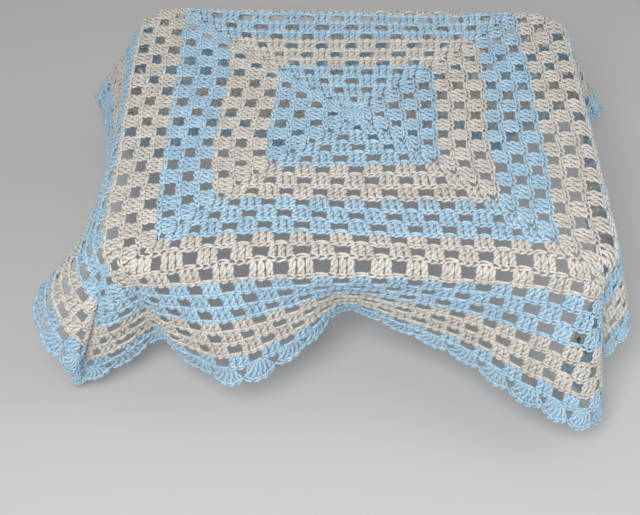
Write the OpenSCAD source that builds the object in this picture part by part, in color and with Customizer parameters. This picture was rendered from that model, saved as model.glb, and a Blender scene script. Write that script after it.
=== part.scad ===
// A crocheted granny-square blanket, draped over a small rectangular table top.
// Each crochet round is its own node. The blanket's centre, on its underside, is the
// origin: +X is the blanket's right, +Y its back, and +Z is up off the table top.

/* [Crochet] */
// Height of one crochet round, from its foot to its top chain
round_h = 17; // [15:0.5:18]
// Thickness of the crocheted fabric
fabric_t = 5; // [4:0.5:6]
// How far the shell edging reaches past the last cluster round
shell_d = 23; // [18:1:26]
// Outer radius of the closed foundation ring at the centre
ring_r = 6; // [5:0.5:8]
// How far the corners pull the top's side columns longer
corner_pull = 25; // [0:1:28]
// How far the hanging sides sit to the right of the centre square
slide_right = 2.5; // [0:0.5:4]
// How far the hanging sides sit behind the centre square
slide_back = 4.5; // [0:0.5:6]

/* [Table top it hangs over] */
// Distance from the blanket's centre to the table top's left edge
table_left = 240.5; // [237.5:0.5:243.5]
// Distance from the blanket's centre to the table top's right edge
table_right = 242.5; // [239.5:0.5:245.5]
// Distance from the blanket's centre to the table top's front edge
table_front = 225.5; // [222.5:0.5:228.5]
// Distance from the blanket's centre to the table top's back edge
table_back = 204.5; // [202.5:0.5:207.5]
// Radius of the corners that the fabric falls round
corner_r = 44; // [40:1:50]
// Radius that the fabric bends through at the table's edge
bend_r = 14; // [12:1:16]

/* [Hidden] */
last_round = 21;
first_bent_round = 11;  // the rounds inside this one lie wholly flat
last_bend_round = 14;   // rounds up to this one turn over the table's edge
steps = 32;             // stations along one side of a round
corner_spread = 0.12;   // how much closer the stations are near the corners
corner_span = 14 * round_h; // how far a quarter turn counts along the edge line
pull_at = 14 * round_h;     // where the corner pull reaches its full size
slide_from = 12;        // the rounds that the slide builds up over
slide_to = 14;

blue = [0.60, 0.76, 0.88];
beige = [0.80, 0.76, 0.70];

// Rounds 1-5, 9-11, 15-17 and 21 are blue; 6-8, 12-14 and 18-20 are beige.
function is_blue(n) = n <= 5 || (n >= 9 && n <= 11) || (n >= 15 && n <= 17) || n > 20;
function round_name(n) = str(is_blue(n) ? "blue" : "beige", "_round_", n);

// The straight parts of the edge, between the rounded corners.
x0 = corner_r - table_left;
x1 = table_right - corner_r;
y0 = corner_r - table_front;
y1 = table_back - corner_r;

// Distance along the edge line, anticlockwise from the front edge's left end. Sides are
// given in rounds from the centre, corners in degrees turned since the last side.
at_right = x1 - x0 + corner_span;
at_back = at_right + y1 - y0 + corner_span;
at_left = at_back + x1 - x0 + corner_span;
edge_length = at_left + y1 - y0 + corner_span;
function turned(degrees) = (degrees / 90 - 1) * corner_span;
function front(u) = u * round_h + slide_right - x0;
function front_right(degrees) = at_right + turned(degrees);
function right(v) = at_right + v * round_h + slide_back - y0;
function back_right(degrees) = at_back + turned(degrees);
function back(u) = at_back + x1 - u * round_h - slide_right;
function back_left(degrees) = at_left + turned(degrees);
function left(v) = at_left + y1 - v * round_h - slide_back;
function front_left(degrees) = edge_length + turned(degrees);

// The folds of the hanging skirt: where along the edge, how far it leans out from
// the vertical, and how far it swings along the edge line, both in degrees.
folds = [
    [front(-11.5), -11, 13], [front(-9), 0, 11], [front(-7), -2, 10], [front(-4), -17, 8],
    [front(-1), -34, 2], [front(3), -25, -2], [front(7), -12, -4], [front(11), 8, -6],
    [front_right(15), 13, 1], [front_right(30), 3, 9], [front_right(45), -11, 10],
    [front_right(60), -2, 4], [front_right(75), 8, 7],
    [right(-11), 15, 6], [right(-8), 13, 3], [right(-4), 9, 0], [right(0), 7, -3],
    [right(4), 12, -7], [right(8), 15, -12],
    [back_right(20), 18, -3], [back_right(45), 34, -3], [back_right(70), 20, 0],
    [back(11), -2, 1], [back(7), 6, 0], [back(3), -8, 0], [back(-1), 6, 1], [back(-5), -8, 1],
    [back(-9), 3, 1], [back_left(10), 0, 5], [back_left(25), 12, 10],
    [back_left(45), 34, 3], [back_left(70), 23, 1],
    [left(8), 18, 9], [left(3), 14, 3], [left(-1), 16, -1], [left(-5), 21, -5],
    [left(-8), 27, -8], [left(-11), 35, -12],
    [front_left(15), 30, -6], [front_left(30), 17, -6], [front_left(45), 5, -20],
    [front_left(60), -4, -17], [front_left(75), -25, -3]
];
count = len(folds);

// The folds as a closed loop: the last two come again before the first, and the reverse.
function shifted(fold, by) = [fold[0] + by, fold[1], fold[2]];
loop = concat([for (i = [count - 2, count - 1]) shifted(folds[i], -edge_length)], folds,
    [for (i = [0, 1]) shifted(folds[i], edge_length)]);
function segment(s, i = 1) = loop[i + 1][0] > s ? i : segment(s, i + 1);
function slope(i, k) = (loop[i + 1][k] - loop[i - 1][k]) / (loop[i + 1][0] - loop[i - 1][0]);

// Lean (k = 1) or swing (k = 2) at s along the edge, smooth from fold to fold.
function fold_angle(s, k) =
    let (i = segment(s), span = loop[i + 1][0] - loop[i][0], t = (s - loop[i][0]) / span)
    (2 * t ^ 3 - 3 * t ^ 2 + 1) * loop[i][k] + (t ^ 3 - 2 * t ^ 2 + t) * span * slope(i, k)
    + (3 * t ^ 2 - 2 * t ^ 3) * loop[i + 1][k] + (t ^ 3 - t ^ 2) * span * slope(i + 1, k);

function clamp(value, low, high) = min(max(value, low), high);

// Where the fabric point (u, v) lies when the blanket is spread on a plane.
function slid(t) = clamp((abs(t) / round_h - slide_from) / (slide_to - slide_from), 0, 1);
function spread(u, v) = [u + slide_right * slid(u), v + slide_back * slid(v)
    + corner_pull * clamp(u / pull_at, -1, 1) ^ 2 * clamp(v / pull_at, -1, 1)];

// Distance along the edge line below a plane point, from its foot and outward direction.
function edge_at(foot, out, on_side) =
    on_side[1] ? (out.y < 0 ? foot.x - x0 : at_back + x1 - foot.x)
    : on_side[0] ? (out.x > 0 ? at_right + foot.y - y0 : at_left + y1 - foot.y)
    : out.y < 0 && out.x >= 0 ? at_right - atan2(-out.y, out.x) / 90 * corner_span
    : out.y >= 0 && out.x > 0 ? at_back - atan2(out.x, out.y) / 90 * corner_span
    : out.y > 0 ? at_left - atan2(out.y, -out.x) / 90 * corner_span
    : edge_length - atan2(-out.x, -out.y) / 90 * corner_span;

// The draped place of a fabric point: flat on the top, round the bend, then straight
// down the skirt in the direction that the folds give.
function drape(u, v) =
    let (p = spread(u, v), foot = [clamp(p.x, x0, x1), clamp(p.y, y0, y1)],
        reach = norm(p - foot), flat = corner_r - bend_r)
    reach <= flat ? [p.x, p.y, 0] :
    let (out = (p - foot) / reach,
        s = edge_at(foot, out, [p.y > y0 && p.y < y1, p.x > x0 && p.x < x1]),
        lean = fold_angle(s, 1), swing = fold_angle(s, 2),
        turn = min((reach - flat) / bend_r * 180 / PI, 90 - lean),
        hang = max(reach - flat - bend_r * (90 - lean) * PI / 180, 0),
        away = flat + bend_r * sin(turn) + hang * sin(lean) * cos(swing),
        drop = bend_r * (1 - cos(turn)) + hang * cos(lean) * cos(swing),
        along = hang * sin(swing))
    [foot.x + out.x * away - out.y * along, foot.y + out.y * away + out.x * along, -drop];

// The surface's upward normal at a fabric point, from two short steps either way.
function normal(u, v, step = 1) =
    let (n = cross(drape(u + step, v) - drape(u - step, v),
        drape(u, v + step) - drape(u, v - step)))
    n / norm(n);

// A fabric point on the square of half-size half, at station i anticlockwise round it.
function station(half, i) =
    let (side = floor(i / steps), w = 2 * (i % steps) / steps - 1,
        t = half * (w + corner_spread * sin(180 * w)))
    side == 0 ? [t, -half] : side == 1 ? [half, t] : side == 2 ? [-t, half] : [-half, -t];

stations = 4 * steps;
function row(half, lift) = [for (i = [0:stations - 1])
    let (q = station(half, i)) drape(q.x, q.y) + (lift == 0 ? [0, 0, 0] : lift * normal(q.x, q.y))];

// Two triangles for each station between rows a and b of a point list.
function band(a, b) = [for (i = [0:stations - 1])
    let (j = (i + 1) % stations, a0 = a * stations, b0 = b * stations)
    each [[a0 + i, b0 + i, b0 + j], [a0 + i, b0 + j, a0 + j]]];

// A closed sheet of fabric between two squares, which follows the drape.
module bent_round(inner, outer, cuts) {
    halves = [for (c = [0:cuts]) inner + (outer - inner) * c / cuts];
    points = concat([for (h = halves) each row(h, 0)], [for (h = halves) each row(h, fabric_t)]);
    top = cuts + 1;
    faces = concat([for (c = [0:cuts - 1]) each band(c + 1, c)],
        [for (c = [0:cuts - 1]) each band(top + c, top + c + 1)],
        band(0, top), band(top + cuts, cuts));
    polyhedron(points, [for (f = faces) [f[2], f[1], f[0]]]);
}

module square_outline(half) {
    polygon([for (i = [0:stations - 1]) let (q = station(half, i)) spread(q.x, q.y)]);
}

// A flat ring of fabric; the first round's hole takes the foundation ring.
module flat_round(n) {
    linear_extrude(height = fabric_t) difference() {
        square_outline(n * round_h);
        if (n == 1) circle(r = ring_r, $fn = 48);
        else square_outline((n - 1) * round_h);
    }
}

module centre_ring() {
    color(blue) cylinder(r = ring_r, h = fabric_t, $fn = 48);
}

module crochet_round(n) {
    color(is_blue(n) ? blue : beige)
    if (n < first_bent_round) flat_round(n);
    else bent_round((n - 1) * round_h, n * round_h, n <= last_bend_round ? 2 : 1);
}

module shell_edging() {
    color(blue) bent_round(last_round * round_h, last_round * round_h + shell_d, 1);
}

centre_ring();
for (n = [1:last_round]) {
    crochet_round(n);
}
shell_edging();
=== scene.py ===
"""A crocheted granny-square blanket, draped over a table top that isn't shown.

Every stitch is a strand of yarn. It is laid out on the flat blanket first, then carried onto the drape.
Flat places are (across, up) in metres from the blanket's centre. Lift is the height above the middle of
the cloth.
"""

import math

import bpy
import numpy as np
from mathutils import Matrix, Vector


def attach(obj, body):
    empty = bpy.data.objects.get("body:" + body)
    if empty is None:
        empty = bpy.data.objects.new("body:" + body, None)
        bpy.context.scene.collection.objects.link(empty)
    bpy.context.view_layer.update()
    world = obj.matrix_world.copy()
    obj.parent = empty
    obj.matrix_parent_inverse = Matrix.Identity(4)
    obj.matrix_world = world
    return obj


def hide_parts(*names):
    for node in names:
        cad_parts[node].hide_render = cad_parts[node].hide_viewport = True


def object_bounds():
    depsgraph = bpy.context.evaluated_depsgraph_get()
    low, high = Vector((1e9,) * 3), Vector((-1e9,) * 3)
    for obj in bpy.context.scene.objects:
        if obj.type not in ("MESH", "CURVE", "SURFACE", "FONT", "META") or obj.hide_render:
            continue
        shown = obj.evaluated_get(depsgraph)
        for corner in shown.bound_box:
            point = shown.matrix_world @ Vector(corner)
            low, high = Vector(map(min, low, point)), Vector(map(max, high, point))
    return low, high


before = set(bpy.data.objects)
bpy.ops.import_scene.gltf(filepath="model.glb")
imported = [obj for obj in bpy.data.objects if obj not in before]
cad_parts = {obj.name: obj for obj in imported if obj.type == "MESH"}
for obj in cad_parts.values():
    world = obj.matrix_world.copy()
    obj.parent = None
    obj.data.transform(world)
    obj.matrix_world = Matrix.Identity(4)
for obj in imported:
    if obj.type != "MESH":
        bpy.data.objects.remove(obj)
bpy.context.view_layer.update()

# -------------------------------------------------- the blanket, as in the CAD model, in metres
ROUND = 0.017  # height of one round of stitches
FABRIC = 0.005  # thickness of the cloth
RING_RADIUS = 0.006
CORNER_PULL = 0.025  # how far the corners are pulled past the square
SLIDE = np.array([0.0025, 0.0045])  # how far the edge sits right and back of the middle
SLIDE_FROM, SLIDE_TO = 12, 14  # the rounds that the slide builds up over
TABLE_LEFT, TABLE_RIGHT, TABLE_FRONT, TABLE_BACK = 0.2405, 0.2425, 0.2255, 0.2045
CORNER_RADIUS = 0.044
BEND_RADIUS = 0.014
LAST_ROUND = 21
CENTRE_ROUNDS = 5  # the first length of blue yarn
CORNER_SPAN = 14 * ROUND
PULL_AT = 14 * ROUND
CORE_LOW = np.array([CORNER_RADIUS - TABLE_LEFT, CORNER_RADIUS - TABLE_FRONT])
CORE_HIGH = np.array([TABLE_RIGHT - CORNER_RADIUS, TABLE_BACK - CORNER_RADIUS])
CORE = CORE_HIGH - CORE_LOW
AT_RIGHT = CORE[0] + CORNER_SPAN
AT_BACK = AT_RIGHT + CORE[1] + CORNER_SPAN
AT_LEFT = AT_BACK + CORE[0] + CORNER_SPAN
EDGE_LENGTH = AT_LEFT + CORE[1] + CORNER_SPAN

# ---------------------------------------------------------------- yarn
LOBE_RADIUS = 0.00147  # a strand is three plies twisted together
GROOVE_RADIUS = 0.00122
PLY_TURN = math.radians(27)  # how far the plies turn from one ring of points to the next
POST_WIDE, POST_THICK = 1.45, 0.78  # the strands of a post lie a little flat
LINK_WIDE, LINK_THICK = 1.0, 1.08
JOIN_WIDE, JOIN_THICK = 0.85, 0.85
SHELL_WIDE, SHELL_THICK = 1.33, 0.72
STRAND_GAP = 0.00165  # half the distance between the two strands of a post
POST_TWIST = math.radians(300)  # the two strands of a post turn round each other
HOOK = 0.0012  # how far a post reaches under the round before it
SEED = 7


def corner_turn(degrees):
    return (degrees / 90 - 1) * CORNER_SPAN


def front(rounds):
    return rounds * ROUND + SLIDE[0] - CORE_LOW[0]


def front_right(degrees):
    return AT_RIGHT + corner_turn(degrees)


def right(rounds):
    return AT_RIGHT + rounds * ROUND + SLIDE[1] - CORE_LOW[1]


def back_right(degrees):
    return AT_BACK + corner_turn(degrees)


def back(rounds):
    return AT_BACK + CORE_HIGH[0] - rounds * ROUND - SLIDE[0]


def back_left(degrees):
    return AT_LEFT + corner_turn(degrees)


def left(rounds):
    return AT_LEFT + CORE_HIGH[1] - rounds * ROUND - SLIDE[1]


def front_left(degrees):
    return EDGE_LENGTH + corner_turn(degrees)


# Place along the edge, lean outwards and swing sideways in degrees, as in the CAD model.
FOLDS = np.array([
    [front(-11.5), -11, 13], [front(-9), 0, 11], [front(-7), -2, 10], [front(-4), -17, 8],
    [front(-1), -34, 2], [front(3), -25, -2], [front(7), -12, -4], [front(11), 8, -6],
    [front_right(15), 13, 1], [front_right(30), 3, 9], [front_right(45), -11, 10],
    [front_right(60), -2, 4], [front_right(75), 8, 7],
    [right(-11), 15, 6], [right(-8), 13, 3], [right(-4), 9, 0], [right(0), 7, -3],
    [right(4), 12, -7], [right(8), 15, -12],
    [back_right(20), 18, -3], [back_right(45), 34, -3], [back_right(70), 20, 0],
    [back(11), -2, 1], [back(7), 6, 0], [back(3), -8, 0], [back(-1), 6, 1], [back(-5), -8, 1],
    [back(-9), 3, 1],
    [back_left(10), 0, 5], [back_left(25), 12, 10], [back_left(45), 34, 3], [back_left(70), 23, 1],
    [left(8), 18, 9], [left(3), 14, 3], [left(-1), 16, -1], [left(-5), 21, -5], [left(-8), 27, -8],
    [left(-11), 35, -12],
    [front_left(15), 30, -6], [front_left(30), 17, -6], [front_left(45), 5, -20],
    [front_left(60), -4, -17], [front_left(75), -25, -3],
])


def fold_angles(edge):
    """Lean and swing in degrees at places along the edge, on smooth curves through the folds."""
    wrapped = np.concatenate([FOLDS[-2:] - [EDGE_LENGTH, 0, 0], FOLDS, FOLDS[:2] + [EDGE_LENGTH, 0, 0]])
    places, angles = wrapped[:, 0], wrapped[:, 1:]
    slopes = np.zeros_like(angles)
    slopes[1:-1] = (angles[2:] - angles[:-2]) / (places[2:] - places[:-2])[:, None]
    i = np.clip(np.searchsorted(places, edge, side="right") - 1, 1, len(places) - 3)
    step = (places[i + 1] - places[i])[:, None]
    t = ((edge - places[i])[:, None]) / step
    return (
        (2 * t**3 - 3 * t**2 + 1) * angles[i]
        + (t**3 - 2 * t**2 + t) * step * slopes[i]
        + (3 * t**2 - 2 * t**3) * angles[i + 1]
        + (t**3 - t**2) * step * slopes[i + 1]
    )


def edge_at(foot, out):
    """Place along the table's edge for feet on the core rectangle and the directions out of it."""
    angle = np.degrees(np.arctan2(out[:, 1], out[:, 0])) % 360
    inside_x = (foot[:, 0] > CORE_LOW[0]) & (foot[:, 0] < CORE_HIGH[0])
    inside_y = (foot[:, 1] > CORE_LOW[1]) & (foot[:, 1] < CORE_HIGH[1])
    along_x = foot[:, 0] - CORE_LOW[0]
    along_y = foot[:, 1] - CORE_LOW[1]
    return np.select(
        [inside_x & (out[:, 1] < 0), inside_y & (out[:, 0] > 0), inside_x & (out[:, 1] > 0),
         inside_y & (out[:, 0] < 0), angle >= 270, angle < 90, angle < 180],
        [along_x, AT_RIGHT + along_y, AT_BACK + CORE[0] - along_x, AT_LEFT + CORE[1] - along_y,
         front_right(angle - 270), back_right(angle), back_left(angle - 90)],
        front_left(angle - 180),
    )


def drape(flat):
    """Carries points of the flat cloth's underside onto the table and down its sides."""
    pull = CORNER_PULL * np.clip(flat[:, 0] / PULL_AT, -1, 1) ** 2 * np.clip(flat[:, 1] / PULL_AT, -1, 1)
    slide = SLIDE * np.clip((np.abs(flat) / ROUND - SLIDE_FROM) / (SLIDE_TO - SLIDE_FROM), 0, 1)
    spread = flat + slide + np.stack([np.zeros_like(pull), pull], 1)
    foot = np.clip(spread, CORE_LOW, CORE_HIGH)
    reach = np.linalg.norm(spread - foot, axis=1)
    out = (spread - foot) / np.maximum(reach, 1e-9)[:, None]
    lean, swing = np.radians(fold_angles(edge_at(foot, out))).T
    level = CORNER_RADIUS - BEND_RADIUS
    past = np.maximum(reach - level, 0)
    turn = np.minimum(past / BEND_RADIUS, math.pi / 2 - lean)
    hang = np.maximum(past - BEND_RADIUS * (math.pi / 2 - lean), 0)
    away = np.minimum(reach, level) + BEND_RADIUS * np.sin(turn) + hang * np.sin(lean) * np.cos(swing)
    drop = BEND_RADIUS * (1 - np.cos(turn)) + hang * np.cos(lean) * np.cos(swing)
    side = hang * np.sin(swing)
    x = foot[:, 0] + out[:, 0] * away - out[:, 1] * side
    y = foot[:, 1] + out[:, 1] * away + out[:, 0] * side
    return np.stack([x, y, -drop], 1)


def cloth_normal(flat):
    step = 0.001
    across = drape(flat + [step, 0]) - drape(flat - [step, 0])
    up = drape(flat + [0, step]) - drape(flat - [0, step])
    normal = np.cross(across, up)
    return normal / np.maximum(np.linalg.norm(normal, axis=1, keepdims=True), 1e-12)


# ---------------------------------------------------------------- hand-made unevenness
rng = np.random.default_rng(SEED)
WAVE_COUNT = 14
WAVE_RATE = 14
WAVE_SIZE = 0.0011  # metres
WAVES = [
    (rng.uniform(-1, 1, 2) * WAVE_RATE, rng.uniform(0, 2 * math.pi), rng.uniform(-1, 1, 2) * WAVE_SIZE)
    for _ in range(WAVE_COUNT)
]


def uneven(flat):
    """Bends the straight rows a little, as hand tension does."""
    moved = flat.copy()
    for direction, phase, size in WAVES:
        moved += np.sin(flat @ direction * 3.2 + phase)[:, None] * size
    return moved


def lay(flat, lift):
    """Points on the draped cloth and the cloth's normal there. The shapes are (strands, points, 2 or 3)."""
    shape = flat.shape[:2]
    spots = uneven(flat.reshape(-1, 2))
    normal = cloth_normal(spots)
    points = drape(spots) + normal * (FABRIC / 2 + lift.reshape(-1))[:, None]
    return points.reshape(*shape, 3), normal.reshape(*shape, 3)


# ---------------------------------------------------------------- stitches on the flat cloth
POST_POINTS = 29
SHELL_POINTS = 27
SHELL_TWIST = math.radians(270)
LINK_POINTS = 12
JOIN_POINTS = 7
JOIN_LIFT = -0.0004


def unit(v):
    return v / np.maximum(np.linalg.norm(v, axis=-1, keepdims=True), 1e-9)


def posts(base, top, hook=HOOK, count=POST_POINTS, twist_by=POST_TWIST, section=(POST_WIDE, POST_THICK)):
    """Double crochets: one strand down from the top, under the base and up again, its halves twisted."""
    length = np.linalg.norm(top - base, axis=1)[:, None]
    along = unit(top - base)
    side = np.stack([-along[:, 1], along[:, 0]], 1)
    hook_length = 1.5 * hook
    run = np.linspace(-1, 1, count)[None] * (length + hook_length)
    half = np.sign(run)
    rise = np.clip((np.abs(run) - hook_length) / length, 0, 1)
    under = np.clip(np.abs(run) / hook_length, 0, 1) * math.pi / 2
    distance = np.where(rise > 0, rise * length, -hook * np.cos(under))
    twist = math.pi / 2 + twist_by * rise
    open_up = np.clip(rise / 0.15, 0, 1)
    foot_lift = np.where(half > 0, 0.0006, 0.0016)  # the front strand starts under the chain before it
    reach_lift = foot_lift * (1 - open_up) + 0.0010 * open_up
    across = half * STRAND_GAP * open_up * np.tanh(2.6 * np.cos(twist)) / math.tanh(2.6)
    lift = half * reach_lift * np.where(rise > 0, np.sin(twist), np.sin(under))
    flat = base[:, None] + along[:, None] * distance[..., None] + side[:, None] * across[..., None]
    return flat, lift, section


LINK = np.array([  # one leg of a chain link, in millimetres: along, aside, lift
    [-0.2, 1.80, -0.4], [1.4, 2.20, 0.7], [3.4, 1.85, 1.2], [5.3, 1.25, 1.0], [6.8, 0.60, 0.2],
    [7.3, 0.00, -0.4],
]) / 1000
LINK_LENGTH = 0.0073
LINK_TILT = math.radians(-8)


def smooth_line(points, count):
    """A Catmull-Rom curve through the points, at count even steps."""
    padded = np.concatenate([2 * points[:1] - points[1:2], points, 2 * points[-1:] - points[-2:-1]])
    t = np.linspace(0, len(points) - 1, count)
    i = np.minimum(t.astype(int), len(points) - 2)
    f = (t - i)[:, None]
    a, b, c, d = padded[i], padded[i + 1], padded[i + 2], padded[i + 3]
    return 0.5 * (2 * b + (c - a) * f + (2 * a - 5 * b + 4 * c - d) * f**2 + (3 * b - a - 3 * c + d) * f**3)


def links(start, end, open_by=1.0):
    """Chain links, each an open V whose point dips under the next link. open_by widens the V."""
    leg = smooth_line(np.concatenate([LINK, (LINK * [1, -1, 1])[-2::-1]]), LINK_POINTS)
    tilted = leg[:, 2] + leg[:, 1] * math.sin(LINK_TILT)
    aside = leg[:, 1] * open_by * math.cos(LINK_TILT) - leg[:, 2] * 0.3
    along = unit(end - start)
    side = np.stack([along[:, 1], -along[:, 0]], 1)
    scale = np.linalg.norm(end - start, axis=1)[:, None] / LINK_LENGTH
    flat = (
        start[:, None]
        + along[:, None] * (leg[None, :, 0] * scale)[..., None]
        + side[:, None] * np.repeat(aside[None], len(start), 0)[..., None]
    )
    return flat, np.repeat(tilted[None], len(start), 0), (LINK_WIDE, LINK_THICK)


def joins(start, end):
    """Single straight strands between two places."""
    t = np.linspace(0, 1, JOIN_POINTS)[None, :, None]
    flat = start[:, None] * (1 - t) + end[:, None] * t
    return flat, np.full(flat.shape[:2], JOIN_LIFT), (JOIN_WIDE, JOIN_THICK)


QUARTERS = [np.array([[1, 0], [0, -1]]), np.array([[0, 1], [1, 0]]),
            np.array([[-1, 0], [0, 1]]), np.array([[0, -1], [-1, 0]])]


def turned(points, quarter):
    """(across, out) places of one side of the square, in rounds, as flat metres. Quarter 0 is the front."""
    return points @ QUARTERS[quarter] * ROUND


def cluster_round(number):
    """All the strands of one round: clusters of three posts, and the chain along their tops."""
    centres = np.arange(-(number - 1), number, 2.0)
    strands = []
    for quarter in range(4):
        count = len(centres)
        shift = rng.normal(0, 0.022, count)
        width = rng.normal(1, 0.045, count)
        height = rng.normal(0, 0.018, count)
        swell = rng.normal(0.00045, 0.00025, count)
        at_end = (np.abs(centres) == number - 1) * np.sign(centres)
        c = centres + shift
        inner = number - 1 + 0.02
        for post in (-1, 0, 1):
            lean = rng.normal(0, 0.02, count)
            if number == 1:
                base = np.stack([0.20 * post + 0 * c, 0.30 + 0 * c], 1)
                top = np.stack([0.46 * post + 0 * c, 0.86 - 0.06 * abs(post) + 0 * c], 1)
            else:
                outer_post = at_end * (post == at_end)
                base = np.stack([c + 0.37 * post * width - 0.30 * at_end, inner + 0 * c], 1)
                top = np.stack(
                    [c + 0.43 * post * width - 0.12 * at_end + 0.04 * outer_post + lean,
                     number - 0.19 + height - 0.04 * abs(post) - 0.04 * abs(outer_post)], 1)
            flat, lift, section = posts(turned(base, quarter), turned(top, quarter))
            strands.append((flat, lift + swell[:, None], section))
        ends = (c - 0.10 * at_end)[:, None] + np.array([-0.65, -0.22, 0.22, 0.65]) * width[:, None]
        rise = number - 0.05 + height[:, None] + np.array([-0.09, 0.0, 0.0, -0.09])
        if number == 1:
            ends = np.array([[-0.62, -0.22, 0.22, 0.62]])
            rise = np.array([[0.88, 0.97, 0.97, 0.88]])
        knots = np.stack([ends, rise], 2)
        for i in range(3):
            strands.append(links(turned(knots[:, i], quarter), turned(knots[:, i + 1], quarter)))
        if count > 1:
            strands.append(links(turned(knots[:-1, 3], quarter), turned(knots[1:, 0], quarter), 0.65))
        last, corner = knots[-1, 3], np.array([number - 0.16, number - 0.16])
        following = np.array([number - 0.10, number - 0.46])
        middle = turned(corner[None], quarter)
        strands.append(joins(turned(last[None], quarter), middle))
        strands.append(joins(middle, turned(following[None], quarter)))
    return strands


def centre_ring():
    """The small ring of chain that the first round is worked into."""
    angles = np.radians(np.arange(0, 360, 60))
    radius = RING_RADIUS * 0.72  # the chain has its own width outside this
    places = np.stack([np.cos(angles), np.sin(angles)], 1) * radius
    return [links(places, np.roll(places, -1, 0))]


SHELL_POSTS = 5
CORNER_POSTS = 8
SHELL_HOOK = 0.0008
FAN_CURVE = 2.4  # how a fan's rim falls away from its middle
CORNER_FAN, CORNER_RIM = 68, 74  # degrees each way from the diagonal


def shell_edging():
    """Fans of posts all round, each under a gap of the last round, and a larger fan at each corner."""
    strands, side_starts, corner_ends = [], [], []
    for quarter in range(4):
        bases, tops, knots_from, knots_to = [], [], [], []
        previous = None
        for centre in np.arange(-(LAST_ROUND - 2), LAST_ROUND - 1, 2.0):
            c = centre + rng.normal(0, 0.03)
            place = np.linspace(-1, 1, SHELL_POSTS)
            grow = rng.normal(1, 0.03)
            base = np.stack([c + 0.34 * place, LAST_ROUND - 0.03 - 0.05 * place**2], 1)
            top = np.stack([c + 0.80 * place,
                            LAST_ROUND + 1.10 * grow - 0.30 * np.abs(place) ** FAN_CURVE], 1)
            bases.append(base)
            tops.append(top)
            knots = np.stack([c + 0.90 * place,
                              LAST_ROUND + 1.20 * grow - 0.38 * np.abs(place) ** FAN_CURVE], 1)
            knots_from.append(knots[:-1])
            knots_to.append(knots[1:])
            if previous is None:
                side_starts.append(turned(knots[:1], quarter))
            else:
                strands.append(joins(turned(previous[None], quarter), turned(knots[:1], quarter)))
            previous = knots[-1]
        # the corner fan stands on the diagonal, between this side and the next
        place = np.linspace(-1, 1, CORNER_POSTS)
        angle = np.radians(45 + CORNER_FAN * place)
        outward = np.stack([np.cos(angle), np.sin(angle)], 1)
        heart = np.array([LAST_ROUND - 0.12, LAST_ROUND - 0.12])
        bases.append(heart - 0.06 + outward * 0.08)
        tops.append(heart + outward * 1.22)
        edge_angle = np.radians(45 - CORNER_RIM * place)
        rim = heart + np.stack([np.cos(edge_angle), np.sin(edge_angle)], 1) * 1.34
        knots_from.append(np.concatenate([previous[None], rim[:-1]]))
        knots_to.append(rim)
        corner_ends.append(turned(rim[-1:], quarter))
        base, top = np.concatenate(bases), np.concatenate(tops)
        strands.append(posts(turned(base, quarter), turned(top, quarter), SHELL_HOOK, SHELL_POINTS,
                             SHELL_TWIST, (SHELL_WIDE, SHELL_THICK)))
        start, end = np.concatenate(knots_from), np.concatenate(knots_to)
        strands.append(links(turned(start, quarter), turned(end, quarter)))
    # each corner fan is also hooked to the first fan of the next side
    strands.append(links(np.concatenate(corner_ends), np.concatenate(side_starts[1:] + side_starts[:1])))
    return strands


# ---------------------------------------------------------------- yarn as geometry
RING_SIDES = 6
END_TAPER = 0.25, 0.85  # the last two rings of a strand draw in


def tubes(points, normals, section):
    """Closed three-ply strands round the lines. Returns corners and faces, as quads and end triangles."""
    strands, count = points.shape[:2]
    tangent = unit(np.gradient(points, axis=1))
    side = unit(np.cross(tangent, normals))
    over = np.cross(side, tangent)
    turn = rng.uniform(0, 2 * math.pi, (strands, 1)) + PLY_TURN * np.arange(count)[None]
    angle = turn[..., None] + np.arange(RING_SIDES) * 2 * math.pi / RING_SIDES
    radius = np.where(np.arange(RING_SIDES) % 2 == 0, LOBE_RADIUS, GROOVE_RADIUS)
    ring = (
        side[:, :, None] * (section[0] * radius * np.cos(angle))[..., None]
        + over[:, :, None] * (section[1] * radius * np.sin(angle))[..., None]
    )
    taper = np.ones(count)
    taper[[0, -1]], taper[[1, -2]] = END_TAPER
    body = points[:, :, None] + ring * taper[None, :, None, None]
    tips = np.stack([points[:, 0] - tangent[:, 0] * GROOVE_RADIUS,
                     points[:, -1] + tangent[:, -1] * GROOVE_RADIUS], 1)
    corners = np.concatenate([body.reshape(strands, -1, 3), tips], 1)
    row = np.arange(count - 1)[:, None] * RING_SIDES
    here = row + np.arange(RING_SIDES)
    there = row + (np.arange(RING_SIDES) + 1) % RING_SIDES
    quads = np.stack([here, there, there + RING_SIDES, here + RING_SIDES], 2).reshape(-1, 4)
    low = np.arange(RING_SIDES)
    high = low + (count - 1) * RING_SIDES
    first = np.full(RING_SIDES, count * RING_SIDES)
    triangles = np.concatenate([
        np.stack([np.roll(low, -1), low, first], 1),
        np.stack([high, np.roll(high, -1), first + 1], 1),
    ])
    offset = (np.arange(strands) * corners.shape[1])[:, None, None]
    return corners.reshape(-1, 3), (quads + offset).reshape(-1, 4), (triangles + offset).reshape(-1, 3)


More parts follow.
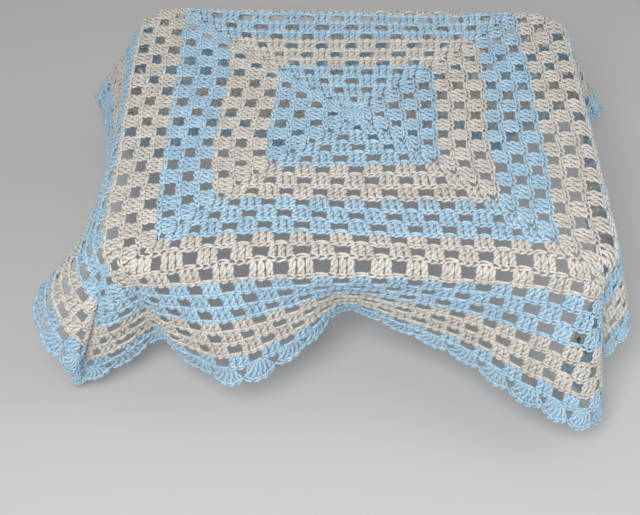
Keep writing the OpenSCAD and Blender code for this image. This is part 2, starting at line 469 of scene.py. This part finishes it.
def yarn_piece(name, strands, fine=1.0):
    """One mesh object from groups of strands. fine makes its yarn thinner."""
    corners, quads, triangles, used = [], [], [], 0
    for flat, lift, section in strands:
        points, normals = lay(flat, lift)
        c, q, t = tubes(points, normals, (section[0] * fine, section[1] * fine))
        corners.append(c)
        quads.append(q + used)
        triangles.append(t + used)
        used += len(c)
    corners, quads, triangles = (np.concatenate(x) for x in (corners, quads, triangles))
    mesh = bpy.data.meshes.new(name)
    mesh.vertices.add(len(corners))
    mesh.vertices.foreach_set("co", corners.astype(np.float32).ravel())
    loops = np.concatenate([quads.ravel(), triangles.ravel()])
    sizes = np.concatenate([np.full(len(quads), 4), np.full(len(triangles), 3)])
    mesh.loops.add(len(loops))
    mesh.loops.foreach_set("vertex_index", loops.astype(np.int32))
    mesh.polygons.add(len(sizes))
    mesh.polygons.foreach_set("loop_start", np.concatenate([[0], np.cumsum(sizes)[:-1]]).astype(np.int32))
    mesh.polygons.foreach_set("loop_total", sizes.astype(np.int32))
    mesh.polygons.foreach_set("use_smooth", np.ones(len(sizes), bool))
    mesh.update(calc_edges=True)
    piece = bpy.data.objects.new(name, mesh)
    bpy.context.scene.collection.objects.link(piece)
    return piece


# ---------------------------------------------------------------- materials
DRIFT_SCALE, FIBRE_SCALE, FUZZ_SCALE = 55, 620, 1900  # noise sizes: stitches, fibres, fuzz


def yarn_material(name, shade, middle, bright):
    """Matt plied yarn: colour that drifts a little from stitch to stitch, fine fibres and a soft sheen."""
    material = bpy.data.materials.new(name)
    material.use_nodes = True
    nodes, wires = material.node_tree.nodes, material.node_tree.links
    shader = nodes["Principled BSDF"]
    place = nodes.new("ShaderNodeTexCoord")
    drift = nodes.new("ShaderNodeTexNoise")
    drift.inputs["Scale"].default_value = DRIFT_SCALE
    drift.inputs["Detail"].default_value = 3
    fibre = nodes.new("ShaderNodeTexNoise")
    fibre.inputs["Scale"].default_value = FIBRE_SCALE
    fibre.inputs["Detail"].default_value = 4
    blend = nodes.new("ShaderNodeMath")
    blend.operation = "MULTIPLY_ADD"
    blend.inputs[1].default_value = 0.55
    ramp = nodes.new("ShaderNodeValToRGB")
    ramp.color_ramp.elements[0].position = 0.55
    ramp.color_ramp.elements[0].color = (*shade, 1)
    ramp.color_ramp.elements[1].position = 1.0
    ramp.color_ramp.elements[1].color = (*bright, 1)
    ramp.color_ramp.elements.new(0.78).color = (*middle, 1)
    fuzz = nodes.new("ShaderNodeTexNoise")
    fuzz.inputs["Scale"].default_value = FUZZ_SCALE
    fuzz.inputs["Detail"].default_value = 3
    bump = nodes.new("ShaderNodeBump")
    bump.inputs["Strength"].default_value = 0.55
    bump.inputs["Distance"].default_value = 0.0004
    wires.new(place.outputs["Object"], drift.inputs["Vector"])
    wires.new(place.outputs["Object"], fibre.inputs["Vector"])
    wires.new(place.outputs["Object"], fuzz.inputs["Vector"])
    wires.new(drift.outputs["Fac"], blend.inputs[0])
    wires.new(fibre.outputs["Fac"], blend.inputs[2])
    wires.new(blend.outputs[0], ramp.inputs["Fac"])
    wires.new(ramp.outputs["Color"], shader.inputs["Base Color"])
    wires.new(fuzz.outputs["Fac"], bump.inputs["Height"])
    wires.new(bump.outputs["Normal"], shader.inputs["Normal"])
    shader.inputs["Roughness"].default_value = 0.85
    shader.inputs["Specular IOR Level"].default_value = 0.25
    shader.inputs["Sheen Weight"].default_value = 0.25
    shader.inputs["Sheen Roughness"].default_value = 0.5
    return material


def plain_material(name, colour, roughness):
    material = bpy.data.materials.new(name)
    material.use_nodes = True
    shader = material.node_tree.nodes["Principled BSDF"]
    shader.inputs["Base Color"].default_value = (*colour, 1)
    shader.inputs["Roughness"].default_value = roughness
    return material


BLUE = yarn_material("blue_yarn", (0.30, 0.47, 0.60), (0.42, 0.62, 0.76), (0.56, 0.75, 0.87))
BEIGE = yarn_material("beige_yarn", (0.50, 0.47, 0.42), (0.66, 0.63, 0.57), (0.80, 0.77, 0.71))


# ---------------------------------------------------------------- pieces
def is_blue(number):
    return number <= 5 or 9 <= number <= 11 or 15 <= number <= 17 or number > 20


def finish_piece(name, strands, nodes, blue):
    """Makes one piece from the strands in blue or beige yarn, and hides the CAD parts that it replaces."""
    piece = yarn_piece(name, strands)
    piece.data.materials.append(BLUE if blue else BEIGE)
    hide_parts(*nodes)
    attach(piece, "root")
    return piece


centre_strands = centre_ring()
for number in range(1, CENTRE_ROUNDS + 1):
    centre_strands += cluster_round(number)
centre = yarn_piece("blue_centre", centre_strands, fine=0.93)
centre.data.materials.append(BLUE)
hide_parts("centre_ring", *[f"blue_round_{n}" for n in range(1, CENTRE_ROUNDS + 1)])
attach(centre, "root")

for number in range(CENTRE_ROUNDS + 1, LAST_ROUND + 1):
    colour = "blue" if is_blue(number) else "beige"
    finish_piece(f"{colour}_stitches_{number}", cluster_round(number), [f"{colour}_round_{number}"],
                 is_blue(number))

finish_piece("shell_stitches", shell_edging(), ["shell_edging"], True)

# ---------------------------------------------------------------- floor, light and camera
FLOOR_SIZE = 12
FLOOR_GAP = 0.001
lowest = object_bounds()[0][2]
bpy.ops.mesh.primitive_plane_add(size=FLOOR_SIZE, location=(0, 0, lowest - FLOOR_GAP))
floor = bpy.context.object
floor.name = "floor"
floor.data.materials.append(plain_material("pale_floor", (0.62, 0.62, 0.62), 0.9))

world = bpy.data.worlds.new("studio")
bpy.context.scene.world = world
world.use_nodes = True
world.node_tree.nodes["Background"].inputs["Color"].default_value = (1, 1, 1, 1)
world.node_tree.nodes["Background"].inputs["Strength"].default_value = 0.32
bpy.context.scene.view_settings.view_transform = "Standard"


def softbox(name, place, aim, size, power):
    light = bpy.data.lights.new(name, "AREA")
    light.shape = "SQUARE"
    light.size = size
    light.energy = power
    lamp = bpy.data.objects.new(name, light)
    bpy.context.scene.collection.objects.link(lamp)
    lamp.location = place
    lamp.rotation_euler = (Vector(aim) - Vector(place)).to_track_quat("-Z", "Y").to_euler()
    return lamp


softbox("key", (-0.25, -1.4, 1.25), (0, -0.05, -0.05), 0.7, 27)
softbox("fill", (1.5, -0.7, 1.2), (0, 0, -0.1), 1.2, 8)

CAMERA_AIM = Vector((-0.0346, -0.2175, 0))
CAMERA_DISTANCE = 1.222
ELEVATION, YAW, ROLL = math.radians(42.42), math.radians(0.43), math.radians(1.0)
SENSOR = 36
LENS = 75.3
forward = Vector((
    math.sin(YAW) * math.cos(ELEVATION), math.cos(YAW) * math.cos(ELEVATION), -math.sin(ELEVATION)))
level = Vector((math.cos(YAW), -math.sin(YAW), 0))
upward = level.cross(forward)
camera_x = level * math.cos(ROLL) + upward * math.sin(ROLL)
camera_y = -level * math.sin(ROLL) + upward * math.cos(ROLL)
lens = bpy.data.cameras.new("camera")
lens.lens = LENS
lens.sensor_width = SENSOR
camera = bpy.data.objects.new("camera", lens)
bpy.context.scene.collection.objects.link(camera)
camera.matrix_world = Matrix.Translation(CAMERA_AIM - forward * CAMERA_DISTANCE) @ Matrix(
    (camera_x, camera_y, -forward)).transposed().to_4x4()
bpy.context.scene.camera = camera
